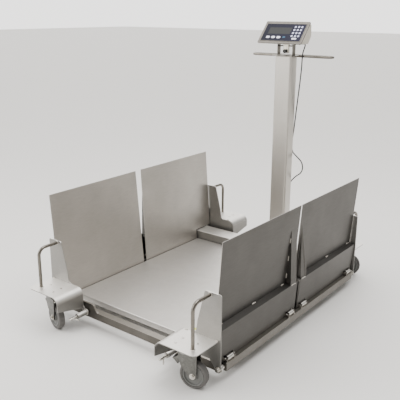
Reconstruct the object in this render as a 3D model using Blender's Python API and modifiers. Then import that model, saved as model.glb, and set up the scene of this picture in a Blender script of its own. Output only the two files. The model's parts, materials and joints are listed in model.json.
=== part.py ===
"""A mobile platform scale for animals, in metres with +Z up.

The weighing platform lies in a rectangular frame on four swing-up caster units.
Four side ramps fold outwards on hinges along the side rails, and an indicator on
a column stands behind the platform. X is the width, Y the length, and the column
is at +Y. The origin is on the floor under the middle of the machine.
"""

import math

import bmesh
import bpy
from mathutils import Matrix, Vector

GAP = 0.0003                    # left between pieces that touch

# Frame of square tube
RAIL_IN, RAIL_OUT = 0.497, 0.533    # inner and outer faces of a side rail
RAIL_LOW, RAIL_TOP = 0.047, 0.084
RAIL_WALL = 0.0025
SIDE_RAIL_END = 0.602
END_RAIL_OUT = 0.627            # outer face of the front and rear rails
FRONT_RAIL_IN, REAR_RAIL_IN = 0.591, 0.497
EAR_IN = 0.617                  # inner face of the ear plates
LOCK_X, LOCK_Z = 0.285, 0.075   # lock plunger axis
LOCK_HOLE_R = 0.0068
CROSS_Y, CROSS_HALF, CROSS_LOW, CROSS_TOP = 0.300, 0.030, 0.0473, 0.0597

# Raised beam across the back, and the column on it
BEAM_HALF, BEAM_FRONT, BEAM_BACK, BEAM_TOP = 0.490, 0.494, 0.606, 0.138
COLUMN_HALF, COLUMN_FRONT, COLUMN_BACK = 0.053, 0.656, 0.730
COLUMN_ROUND, COLUMN_WALL, COLUMN_TOP = 0.012, 0.003, 1.240
FOOT_PLATE = 0.008
CAP_HALF, CAP_FRONT, CAP_BACK, CAP_THICK = 0.065, 0.643, 0.7285, 0.005
BAR_R, BAR_HALF, BAR_Z = 0.0075, 0.2555, 1.240
BAR_FRONT, BAR_BACK = 0.7378, 0.7805
CABLE_HOLE_Z, CABLE_HOLE_R = 0.400, 0.0045

# Platform
DECK_HALF, DECK_FRONT, DECK_BACK = 0.475, -0.532, 0.488
DECK_TOP, DECK_THICK, DECK_LIP = 0.089, 0.004, 0.060
CELL_X, CELL_HALF, CELL_Y0, CELL_Y1 = 0.440, 0.017, 0.262, 0.392
FOOT_Y, FOOT_LOW, FOOT_PAD_R, STUD_R = 0.372, 0.003, 0.028, 0.008

# Ramps, drawn in the hinge's own frame: u points outwards, w up along the ramp
HINGE_X, HINGE_Z = 0.520, 0.096
LEAN = math.radians(4.2)
RAMP_END, RAMP_GAP_LOW = 0.627, 0.0105
RAMP_GAP_TOP = {"left": 0.022, "right": 0.006}
PLATE_U, SHEET = -0.039, 0.003
RAMP_FOOT_W, RAMP_TOP_W = -0.021, 0.5275
WEB_U, LEDGE_W, FLANGE_W = -0.006, 0.146, -0.0115
WEDGE_TOP_W, WEDGE_START, WEDGE_END = 0.434, 0.023, 0.075
HINGE_STATIONS = (0.062, 0.566)
KNUCKLE_R, KNUCKLE_HALF, PIN_R, KNUCKLE_BORE = 0.011, 0.0205, 0.005, 0.0054
LUG_NEAR, LUG_FAR = 0.021, 0.031

# Caster units
PIVOT_X, PIVOT_Z, PIVOT_PIN_R, PIVOT_BORE = 0.515, 0.0655, 0.008, 0.0084
BRACKET_IN, BRACKET_OUT = 0.634, 0.639
COVER_END, COVER_IN, COVER_OUT, COVER_TOP = 0.795, 0.303, 0.515, 0.196
COVER_SHEET, COVER_BEND = 0.004, 0.035
BUSH_R, BUSH_END = 0.013, 0.696
PLUNGER_R, PLUNGER_TIP, PLUNGER_END, TOMMY_Y = 0.006, 0.628, 0.743, 0.718
HANDLE_X, HANDLE_R, HANDLE_BEND = 0.471, 0.008, 0.037
HANDLE_TOP, HANDLE_Y = 0.394, 0.751

# Casters
SWIVEL_X, SWIVEL_Y, TRAIL = 0.420, 0.728, 0.036
WHEEL_R, TREAD_HALF, AXLE_R, WHEEL_BORE = 0.0625, 0.016, 0.006, 0.0065
FORK_IN, FORK_OUT, CROWN_LOW, CROWN_TOP = 0.0185, 0.0225, 0.134, 0.160
RACE_R, RACE_LOW, PLATE_LOW = 0.032, 0.168, 0.1867
PEDAL_X, PEDAL_Z, PEDAL_PIN_R, PEDAL_BORE = -0.016, 0.139, 0.003, 0.0034
TRAIL_ANGLE = {"front_left": -14.0, "front_right": 14.0,
               "rear_left": 150.0, "rear_right": 30.0}

# Indicator
FACE_Y, FACE_Z, FACE_TILT = 0.650, 1.373, math.radians(41.6)
FACE_HALF_W, FACE_HALF_H = 0.140, 0.0765
PANEL_THICK = 0.009
TILT_Y, TILT_Z, TILT_PIN_R, TILT_BORE = 0.690, 1.297, 0.004, 0.0044
CABLE_R = 0.0035
GLAND_X = 0.092
CABLE_ROUTE = (
    (0.0920, 0.7262, 1.3172), (0.0920, 0.7334, 1.3118), (0.0918, 0.7394, 1.3058),
    (0.0905, 0.7396, 1.2940), (0.0880, 0.7330, 1.2760), (0.0860, 0.7262, 1.2560),
    (0.0848, 0.7245, 1.2150), (0.0835, 0.7250, 1.1700), (0.0745, 0.7255, 1.0550),
    (0.0625, 0.7275, 0.9400), (0.0515, 0.7390, 0.8800), (0.0415, 0.7450, 0.8100),
    (0.0350, 0.7440, 0.7450), (0.0420, 0.7390, 0.6880), (0.0760, 0.7360, 0.6580),
    (0.1080, 0.7350, 0.6310), (0.1185, 0.7350, 0.5950), (0.1060, 0.7365, 0.5620),
    (0.0770, 0.7400, 0.5390), (0.0430, 0.7470, 0.5050), (0.0150, 0.7540, 0.4600),
    (0.0020, 0.7580, 0.4250), (0.0000, 0.7520, 0.4060), (0.0000, 0.7430, 0.4005),
    (0.0000, 0.7285, 0.4000),
)

CORNERS = [(end, side) for end in ("front", "rear") for side in ("left", "right")]
SIGN = {"left": -1, "right": 1, "front": -1, "rear": 1}

FINISHES = {                    # colour, roughness, metallic
    "stainless": ((0.56, 0.55, 0.52), 0.38, 1.0),
    "brushed_steel": ((0.62, 0.61, 0.58), 0.28, 1.0),
    "zinc": ((0.60, 0.60, 0.58), 0.35, 1.0),
    "grey_rubber": ((0.42, 0.42, 0.40), 0.75, 0.0),
    "black_plastic": ((0.02, 0.02, 0.02), 0.5, 0.0),
    "panel_blue": ((0.03, 0.04, 0.14), 0.35, 0.0),
    "housing_steel": ((0.62, 0.60, 0.55), 0.35, 1.0),
    "aluminium": ((0.7, 0.7, 0.72), 0.4, 1.0),
}


def clear_scene():
    for item in list(bpy.data.objects):
        bpy.data.objects.remove(item, do_unlink=True)


def new_collection(name):
    group = bpy.data.collections.new(name)
    bpy.context.scene.collection.children.link(group)
    return group


def finish_for(node, finish):
    """A material of the piece's own, in one of the shared finishes."""
    colour, roughness, metallic = FINISHES[finish]
    look = bpy.data.materials.new(node + "_finish")
    look.use_nodes = True
    shader = look.node_tree.nodes["Principled BSDF"]
    shader.inputs["Base Color"].default_value = (*colour, 1.0)
    shader.inputs["Roughness"].default_value = roughness
    shader.inputs["Metallic"].default_value = metallic
    return look


# ---------------------------------------------------------------- shapes
def mesh_of(shape):
    """The bmesh as a mesh, with its faces pointing outwards."""
    bmesh.ops.recalc_face_normals(shape, faces=shape.faces)
    mesh = bpy.data.meshes.new("shape")
    shape.to_mesh(mesh)
    shape.free()
    return mesh


def boxes(*corner_pairs):
    """Separate boxes, each from its low corner to its high one."""
    shape = bmesh.new()
    for low, high in corner_pairs:
        low, high = Vector(low), Vector(high)
        size = Matrix.Diagonal((*[abs(d) for d in high - low], 1))
        place = Matrix.Translation((low + high) / 2) @ size
        bmesh.ops.create_cube(shape, size=1.0, matrix=place)
    return mesh_of(shape)


def rods(*ends_and_radius, sides=12):
    """Separate round bars, each from one end point to the other."""
    shape = bmesh.new()
    for start, end, radius in ends_and_radius:
        start, end = Vector(start), Vector(end)
        along = end - start
        turn = along.to_track_quat("Z", "Y").to_matrix().to_4x4()
        place = Matrix.Translation((start + end) / 2) @ turn
        bmesh.ops.create_cone(shape, cap_ends=True, segments=sides, radius1=radius,
                              radius2=radius, depth=along.length, matrix=place)
    return mesh_of(shape)


def baked(curve):
    """The mesh of a curve object, with its caps welded; the curve is removed."""
    bpy.context.scene.collection.objects.link(curve)
    graph = bpy.context.evaluated_depsgraph_get()
    mesh = bpy.data.meshes.new_from_object(curve.evaluated_get(graph))
    mesh.transform(curve.matrix_world)
    bpy.data.objects.remove(curve, do_unlink=True)
    shape = bmesh.new()
    shape.from_mesh(mesh)
    bmesh.ops.remove_doubles(shape, verts=shape.verts, dist=0.000001)
    return mesh_of(shape)


PLANES = {                      # the outline's own axes, then the way it is extruded
    "X": ((0, 1, 0), (0, 0, 1), (1, 0, 0)),
    "Y": ((1, 0, 0), (0, 0, 1), (0, -1, 0)),
    "Z": ((1, 0, 0), (0, 1, 0), (0, 0, 1)),
}


def slab(axis, start, end, outline, *holes):
    """A flat outline, with its holes, extruded along a world axis."""
    curve = bpy.data.curves.new("outline", "CURVE")
    curve.dimensions = "2D"
    curve.fill_mode = "BOTH"
    curve.extrude = abs(end - start) / 2
    for points in (outline, *holes):
        spline = curve.splines.new("POLY")
        spline.points.add(len(points) - 1)
        spline.use_cyclic_u = True
        for spot, (across, up) in zip(spline.points, points):
            spot.co = (across, up, 0, 1)
    item = bpy.data.objects.new("outline", curve)
    turn = Matrix(PLANES[axis]).transposed().to_4x4()
    middle = Vector((0, 0, 0))
    middle["XYZ".index(axis)] = (start + end) / 2
    item.matrix_world = Matrix.Translation(middle) @ turn
    bpy.context.view_layer.update()
    return baked(item)


def tube(points, radius, closed=False, fineness=2):
    """A round tube along a row of points."""
    curve = bpy.data.curves.new("tube", "CURVE")
    curve.dimensions = "3D"
    curve.bevel_depth = radius
    curve.bevel_resolution = fineness
    curve.use_fill_caps = True
    spline = curve.splines.new("POLY")
    spline.points.add(len(points) - 1)
    spline.use_cyclic_u = closed
    for spot, place in zip(spline.points, points):
        spot.co = (*place, 1)
    return baked(bpy.data.objects.new("tube", curve))


def arc(centre, radius, first, last, steps):
    """Points on an arc, its angles in degrees."""
    spots = []
    for step in range(steps + 1):
        angle = math.radians(first + (last - first) * step / steps)
        spots.append((centre[0] + radius * math.cos(angle),
                      centre[1] + radius * math.sin(angle)))
    return spots


def circle(centre, radius, steps=12):
    return arc(centre, radius, 0, 360 - 360 / steps, steps - 1)


def rectangle(low, high):
    return [low, (high[0], low[1]), high, (low[0], high[1])]


def shrunk(low, high, wall):
    return rectangle((low[0] + wall, low[1] + wall), (high[0] - wall, high[1] - wall))


# ---------------------------------------------------------------- objects
def piece(node, mesh, finish, origin=(0, 0, 0), sharp=35):
    """A named part whose own origin is put where it turns or stands."""
    place = origin if isinstance(origin, Matrix) else Matrix.Translation(origin)
    mesh.transform(place.inverted())
    mesh.name = node
    mesh.materials.append(finish_for(node, finish))
    item = bpy.data.objects.new(node, mesh)
    item.matrix_world = place
    PARTS.objects.link(item)
    mesh.shade_smooth()
    mesh.set_sharp_from_angle(angle=math.radians(sharp))
    return item


def change(item, how, mesh):
    """Join, cut or intersect a part with a helper shape."""
    helper = bpy.data.objects.new(item.name + "_" + how.lower(), mesh)
    TOOLS.objects.link(helper)
    helper.hide_render = True
    helper.display_type = "WIRE"
    step = item.modifiers.new(how.lower(), "BOOLEAN")
    step.operation = how
    step.object = helper


def turned(node, profile, finish, place, steps=24):
    """A turned shape about its own Z, from a profile of radius and height."""
    mesh = bpy.data.meshes.new(node)
    shape = bmesh.new()
    spots = [shape.verts.new((radius, 0, height)) for radius, height in profile]
    for first, second in zip(spots, spots[1:]):
        shape.edges.new((first, second))
    if profile[0][0] > 0:
        shape.edges.new((spots[-1], spots[0]))
    shape.to_mesh(mesh)
    shape.free()
    item = piece(node, mesh, finish)
    item.matrix_world = place
    spin = item.modifiers.new("spin", "SCREW")
    spin.steps = spin.render_steps = steps
    spin.use_merge_vertices = True
    spin.merge_threshold = 0.00001
    return item


# ---------------------------------------------------------------- frame
def side_rail(side):
    s = SIGN[side]
    low, high = sorted((s * RAIL_IN, s * RAIL_OUT))
    outline = rectangle((low, RAIL_LOW), (high, RAIL_TOP))
    hollow = shrunk((low, RAIL_LOW), (high, RAIL_TOP), RAIL_WALL)
    tube_mesh = slab("Y", -SIDE_RAIL_END, SIDE_RAIL_END, outline, hollow)
    rail = piece("side_rail_" + side, tube_mesh, "stainless", (s * HINGE_X, 0, HINGE_Z))
    plug = 0.008
    inset = RAIL_WALL / 2
    plugs, stubs, lugs, pins = [], [], [], []
    for e in (-1, 1):
        plugs.append(((low + inset, e * (SIDE_RAIL_END - plug), RAIL_LOW + inset),
                      (high - inset, e * (SIDE_RAIL_END - 0.0005), RAIL_TOP - inset)))
        stubs.append(((s * PIVOT_X, e * (SIDE_RAIL_END - plug + 0.002), PIVOT_Z),
                      (s * PIVOT_X, e * 0.646, PIVOT_Z), PIVOT_PIN_R))
        for station in HINGE_STATIONS:
            y = e * station
            for near, far in ((LUG_NEAR, LUG_FAR), (-LUG_FAR, -LUG_NEAR)):
                lugs.append(((s * (HINGE_X - 0.005), y + near, RAIL_TOP - 0.001),
                             (s * (HINGE_X + 0.011), y + far, HINGE_Z + 0.0052)))
            pins.append(((s * HINGE_X, y - LUG_FAR + 0.001, HINGE_Z),
                         (s * HINGE_X, y + LUG_FAR - 0.001, HINGE_Z), PIN_R))
    change(rail, "UNION", boxes(*plugs))
    change(rail, "UNION", rods(*stubs, sides=16))
    change(rail, "UNION", boxes(*lugs))
    change(rail, "UNION", rods(*pins))
    drain = ((s * (RAIL_IN + 0.012), -0.02, RAIL_LOW - 0.01),
             (s * (RAIL_IN + 0.024), 0.02, RAIL_LOW + 0.01))
    change(rail, "DIFFERENCE", boxes(drain))


def end_rail(node, e, inner):
    """Front or rear rail, with an ear plate at each lock plunger."""
    low, high = sorted((e * inner, e * END_RAIL_OUT))
    reach = RAIL_IN - GAP
    outline = rectangle((low, RAIL_LOW), (high, RAIL_TOP))
    hollow = shrunk((low, RAIL_LOW), (high, RAIL_TOP), RAIL_WALL)
    rail = piece(node, slab("X", -reach, reach, outline, hollow), "stainless")
    holes = []
    for s in (-1, 1):
        ear = [(0.216, 0.0835), (0.229, 0.094), (0.243, 0.118), (0.249, 0.121),
               (0.345, 0.121), (0.351, 0.118), (0.372, 0.0835), (0.372, 0.060),
               (0.216, 0.060)]
        plate = [(s * x, z) for x, z in ear]
        change(rail, "UNION", slab("Y", e * EAR_IN, e * END_RAIL_OUT, plate))
        holes.append(((s * LOCK_X, e * (EAR_IN - 0.01), LOCK_Z),
                      (s * LOCK_X, e * (END_RAIL_OUT + 0.01), LOCK_Z), LOCK_HOLE_R))
    change(rail, "DIFFERENCE", rods(*holes))


def cross_bar(end):
    y = SIGN[end] * CROSS_Y
    low, high = (y - CROSS_HALF, CROSS_LOW), (y + CROSS_HALF, CROSS_TOP)
    reach = RAIL_IN - GAP
    bar = slab("X", -reach, reach, rectangle(low, high), shrunk(low, high, RAIL_WALL))
    piece("cross_bar_" + end, bar, "stainless", (0, y, CROSS_LOW))


def rear_beam():
    low, high = (BEAM_FRONT, RAIL_TOP + GAP), (BEAM_BACK, BEAM_TOP)
    beam = slab("X", -BEAM_HALF, BEAM_HALF, rectangle(low, high), shrunk(low, high, 0.003))
    piece("rear_beam", beam, "stainless", (0, BEAM_FRONT, BEAM_TOP))


def column_foot():
    top = RAIL_TOP + GAP + FOOT_PLATE
    plate = boxes(((-0.080, BEAM_BACK + 0.002, RAIL_TOP + GAP), (0.080, 0.745, top)))
    foot = piece("column_foot", plate, "stainless", (0, COLUMN_FRONT, top))
    back = ((-0.080, BEAM_BACK + GAP, RAIL_TOP + 0.002), (0.080, BEAM_BACK + 0.006, 0.134))
    change(foot, "UNION", boxes(back))
    start = END_RAIL_OUT + GAP
    gusset = [(start, 0.050), (start + 0.012, 0.050), (0.740, 0.078), (0.740, RAIL_TOP + 0.002),
              (start, RAIL_TOP + 0.002)]
    for x in (-0.055, 0.055):
        change(foot, "UNION", slab("X", x - 0.003, x + 0.003, gusset))


def rounded(low, high, radius, steps=4):
    """A rectangle with round corners."""
    (x0, y0), (x1, y1) = low, high
    r = radius
    return (arc((x0 + r, y0 + r), r, 180, 270, steps) + arc((x1 - r, y0 + r), r, 270, 360, steps)
            + arc((x1 - r, y1 - r), r, 0, 90, steps) + arc((x0 + r, y1 - r), r, 90, 180, steps))


def column():
    low, high = (-COLUMN_HALF, COLUMN_FRONT), (COLUMN_HALF, COLUMN_BACK)
    w = COLUMN_WALL
    inner = rounded((low[0] + w, low[1] + w), (high[0] - w, high[1] - w), COLUMN_ROUND - w)
    bottom = RAIL_TOP + FOOT_PLATE + 2 * GAP
    post = slab("Z", bottom, COLUMN_TOP, rounded(low, high, COLUMN_ROUND), inner)
    item = piece("column", post, "brushed_steel", (0, (COLUMN_FRONT + COLUMN_BACK) / 2, bottom))
    hole = ((0, COLUMN_BACK - 0.02, CABLE_HOLE_Z), (0, COLUMN_BACK + 0.02, CABLE_HOLE_Z),
            CABLE_HOLE_R)
    change(item, "DIFFERENCE", rods(hole))
    low = COLUMN_TOP + GAP
    cap = boxes(((-CAP_HALF, CAP_FRONT, low), (CAP_HALF, CAP_BACK, low + CAP_THICK)))
    piece("column_cap", cap, "brushed_steel", (0, TILT_Y, low))


def handlebar():
    """One closed loop of tube, with a long run each side of two half circles."""
    middle, bend = (BAR_FRONT + BAR_BACK) / 2, (BAR_BACK - BAR_FRONT) / 2
    straight = BAR_HALF - bend
    ring = arc((straight, middle), bend, -90, 90, 8) + arc((-straight, middle), bend, 90, 270, 8)
    loop = [(x, y, BAR_Z) for x, y in ring]
    piece("handlebar", tube(loop, BAR_R, closed=True, fineness=3), "brushed_steel",
          (0, BAR_FRONT, BAR_Z))


# ---------------------------------------------------------------- platform
def deck():
    top = boxes(((-DECK_HALF, DECK_FRONT, DECK_LIP), (DECK_HALF, DECK_BACK, DECK_TOP)))
    plate = piece("deck", top, "stainless", (0, 0, DECK_TOP))
    t = DECK_THICK
    under = ((-DECK_HALF + t, DECK_FRONT + t, DECK_LIP - 0.02),
             (DECK_HALF - t, DECK_BACK - t, DECK_TOP - t))
    change(plate, "DIFFERENCE", boxes(under))


def load_cell(end, side):
    """A bending beam, bored through as two holes joined by a slot."""
    s, e = SIGN[side], SIGN[end]
    low, high = DECK_LIP, DECK_TOP - DECK_THICK - GAP
    y0, y1 = sorted((e * CELL_Y0, e * CELL_Y1))
    mid_y, mid_z, reach, r, slot = (y0 + y1) / 2, (low + high) / 2, 0.018, 0.008, 30
    window = (arc((mid_y - reach, mid_z), r, slot, 360 - slot, 8)
              + arc((mid_y + reach, mid_z), r, 180 + slot, 540 - slot, 8))
    start, stop = sorted((s * (CELL_X - CELL_HALF), s * (CELL_X + CELL_HALF)))
    beam = slab("X", start, stop, rectangle((y0, low), (y1, high)), window)
    piece("load_cell_{}_{}".format(end, side), beam, "aluminium", (s * CELL_X, mid_y, low))


def platform_foot(end, side):
    top = DECK_LIP - GAP
    profile = [(0, top), (STUD_R, top), (STUD_R, 0.017), (FOOT_PAD_R - 0.004, 0.013),
               (FOOT_PAD_R, 0.010), (FOOT_PAD_R, FOOT_LOW), (0, FOOT_LOW)]
    place = Matrix.Translation((SIGN[side] * CELL_X, SIGN[end] * FOOT_Y, 0))
    turned("platform_foot_{}_{}".format(end, side), profile, "zinc", place, steps=16)


def junction_box():
    high = DECK_TOP - DECK_THICK - GAP
    case = boxes(((-0.060, -0.040, 0.058), (0.060, 0.040, high)))
    piece("junction_box", case, "stainless", (0, 0, high))


# ---------------------------------------------------------------- ramps
def ramp(end, side):
    """Side plate with a hollow channel along its foot and a wedge at its inner end."""
    s, e = SIGN[side], SIGN[end]
    cos, sin = math.cos(LEAN), math.sin(LEAN)

    def lie(points):
        return [(s * (HINGE_X + u * cos + w * sin), HINGE_Z - u * sin + w * cos)
                for u, w in points]

    back = PLATE_U + SHEET              # the plate's outer face
    outline = [(PLATE_U, RAMP_FOOT_W), (back, RAMP_FOOT_W), (back, FLANGE_W),
               (WEB_U, FLANGE_W), (WEB_U, LEDGE_W), (back, LEDGE_W + 0.006),
               (back, RAMP_TOP_W), (PLATE_U, RAMP_TOP_W)]
    hollow = [(back, FLANGE_W + SHEET), (WEB_U - SHEET, FLANGE_W + SHEET),
              (WEB_U - SHEET, LEDGE_W - SHEET), (back, LEDGE_W + 0.006 - SHEET)]
    start = min(RAMP_GAP_LOW, RAMP_GAP_TOP[side])
    body = slab("Y", e * start, e * RAMP_END, lie(outline), lie(hollow))
    item = piece("ramp_{}_{}".format(end, side), body, "stainless",
                 (s * HINGE_X, e * HINGE_STATIONS[0], HINGE_Z))

    wedge = [(back - 0.001, LEDGE_W - 0.02), (WEB_U, LEDGE_W - 0.02), (WEB_U, LEDGE_W),
             (back - 0.001, WEDGE_TOP_W)]
    inner = e * WEDGE_START
    change(item, "UNION", slab("Y", inner, e * WEDGE_END, lie(wedge)))
    slope = (WEDGE_TOP_W - LEDGE_W) / (back - WEB_U)
    peak = WEDGE_TOP_W + slope * SHEET * 1.3
    pocket = [(back, LEDGE_W - 0.030), (WEB_U - SHEET, LEDGE_W - 0.030),
              (WEB_U - SHEET, LEDGE_W - 0.003), (back, peak)]
    change(item, "DIFFERENCE", slab("Y", inner + e * SHEET, e * (WEDGE_END - SHEET), lie(pocket)))

    # The inner edges open towards the top on the left, and close on the right
    taper = [(PLATE_U - 0.02, RAMP_FOOT_W - 0.01), (0.03, RAMP_TOP_W + 0.01)]
    shift = RAMP_GAP_TOP[side] - RAMP_GAP_LOW
    sliver = boxes(((0, 0, 0), (1, 1, 1)))
    for spot in sliver.vertices:
        x, y, z = spot.co
        u = taper[0][0] + (taper[1][0] - taper[0][0]) * x
        w = taper[0][1] + (taper[1][1] - taper[0][1]) * z
        edge = RAMP_GAP_LOW + shift * z if y > 0.5 else -0.01
        (across, up), = lie([(u, w)])
        spot.co = (across, e * edge, up)
    change(item, "DIFFERENCE", faced(sliver))

    cuts, knuckles = [], []
    for station in HINGE_STATIONS:
        for near, far in ((KNUCKLE_HALF + 0.0001, 0.033), (-0.033, -KNUCKLE_HALF - 0.0001)):
            window = lie([(-0.012, FLANGE_W - 0.01), (0.012, FLANGE_W - 0.01),
                          (0.012, 0.014), (-0.012, 0.014)])
            cuts.append(slab("Y", e * (station + near), e * (station + far), window))
        barrel = ([(WEB_U - SHEET / 2, -KNUCKLE_R)] + arc((0, 0), KNUCKLE_R, -90, 90, 8)
                  + [(WEB_U - SHEET / 2, KNUCKLE_R)])
        bore = circle((0, 0), KNUCKLE_BORE)
        knuckles.append(slab("Y", e * (station - KNUCKLE_HALF), e * (station + KNUCKLE_HALF),
                             lie(barrel), lie(bore)))
    change(item, "DIFFERENCE", together(cuts))
    change(item, "UNION", together(knuckles))
    # The front plates clear the front rail, the rear ones the raised beam
    start, height = (0.586, -0.0125) if end == "front" else (0.486, 0.046)
    notch = lie([(PLATE_U - 0.02, RAMP_FOOT_W - 0.02), (-0.024, RAMP_FOOT_W - 0.02),
                 (-0.024, height), (PLATE_U - 0.02, height)])
    change(item, "DIFFERENCE", slab("Y", e * start, e * 0.640, notch))


def faced(mesh):
    """The same mesh with its faces turned outwards."""
    shape = bmesh.new()
    shape.from_mesh(mesh)
    return mesh_of(shape)


def together(meshes):
    """Several separate shapes as one helper mesh."""
    shape = bmesh.new()
    for mesh in meshes:
        shape.from_mesh(mesh)
    return mesh_of(shape)


# ---------------------------------------------------------------- caster units
def caster_cover(end, side):
    """Bracket plate with the pivot hole, and the bent cover over the caster."""
    s, e = SIGN[side], SIGN[end]

    def flip(points):
        return [(s * x, z) for x, z in points]

    top, r, t = COVER_TOP, COVER_BEND, COVER_SHEET
    sheet = ([(COVER_OUT, top)] + arc((COVER_IN + r, top - r), r, 90, 180, 6)
             + [(COVER_IN, 0.082), (COVER_IN + t, 0.082)]
             + arc((COVER_IN + r, top - r), r - t, 180, 90, 6) + [(COVER_OUT, top - t)])
    cover = slab("Y", e * (BRACKET_OUT - 0.002), e * COVER_END, flip(sheet))
    item = piece("caster_cover_{}_{}".format(end, side), cover, "stainless",
                 (s * PIVOT_X, e * BRACKET_IN, PIVOT_Z))
    slant = [(e * 0.630, 0.0895), (e * 0.800, 0.127), (e * 0.800, 0.040), (e * 0.630, 0.040)]
    change(item, "DIFFERENCE", slab("X", s * (COVER_IN - 0.01), s * (COVER_IN + 0.02), slant))
    corner = 0.026
    nook = [(COVER_OUT + 0.01, COVER_END - corner), (COVER_OUT + 0.01, COVER_END + 0.01),
            (COVER_OUT - corner, COVER_END + 0.01)]
    nook += arc((COVER_OUT - corner, COVER_END - corner), corner, 90, 0, 6)
    nook = [(s * x, e * y) for x, y in nook]
    change(item, "DIFFERENCE", slab("Z", top - 0.02, top + 0.02, nook))

    half = t / 2                    # the bracket's edge is welded into the sheet
    bracket = (arc((0.519, 0.396), 0.009, 0, 90, 3) + arc((0.454, 0.393), 0.012, 90, 165, 3)
               + [(0.4075, 0.262), (0.402, 0.226)]
               + arc((0.377, top + 0.023 - half), 0.023, 0, -90, 4)
               + arc((COVER_IN + r, top - r), r - half, 90, 180, 6)
               + [(COVER_IN + half, 0.106), (0.296, 0.093)]
               + arc((LOCK_X, LOCK_Z), 0.016, 60, 290, 10)
               + [(0.330, 0.099), (0.470, 0.102)] + arc((PIVOT_X, PIVOT_Z), 0.013, 235, 360, 6))
    change(item, "UNION", slab("Y", e * BRACKET_IN, e * BRACKET_OUT, flip(bracket),
                               flip(circle((PIVOT_X, PIVOT_Z), PIVOT_BORE, 20))))
    bush = ((s * LOCK_X, e * (BRACKET_IN + 0.002), LOCK_Z), (s * LOCK_X, e * BUSH_END, LOCK_Z),
            BUSH_R)
    change(item, "UNION", rods(bush, sides=20))
    bore = ((s * LOCK_X, e * (BRACKET_IN - 0.01), LOCK_Z),
            (s * LOCK_X, e * (BUSH_END + 0.01), LOCK_Z), LOCK_HOLE_R)
    change(item, "DIFFERENCE", rods(bore))


def lift_handle(end, side):
    s, e = SIGN[side], SIGN[end]
    bend = arc((HANDLE_Y - HANDLE_BEND, HANDLE_TOP - HANDLE_BEND), HANDLE_BEND, 90, 0, 7)
    run = [(BRACKET_OUT + GAP, HANDLE_TOP)] + bend + [(HANDLE_Y, COVER_TOP + GAP)]
    points = [(s * HANDLE_X, e * y, z) for y, z in run]
    piece("lift_handle_{}_{}".format(end, side), tube(points, HANDLE_R, fineness=3), "stainless",
          (s * HANDLE_X, e * BRACKET_OUT, HANDLE_TOP))


def lock_plunger(end, side):
    """Sliding pin with a cross bar to pull it by."""
    s, e = SIGN[side], SIGN[end]
    rod = rods(((s * LOCK_X, e * PLUNGER_TIP, LOCK_Z), (s * LOCK_X, e * PLUNGER_END, LOCK_Z),
                PLUNGER_R), sides=16)
    item = piece("lock_plunger_{}_{}".format(end, side), rod, "zinc",
                 (s * LOCK_X, e * PLUNGER_TIP, LOCK_Z))
    level = side == "left"
    reach, stub = (0.040, 0.009) if level else (0.034, 0.009)
    way = Vector((1, 0, 0)) if level else Vector((0, 0, -1))
    middle = Vector((s * LOCK_X, e * TOMMY_Y, LOCK_Z))
    change(item, "UNION", rods((middle - stub * way, middle + reach * way, 0.003), sides=12))


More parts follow.
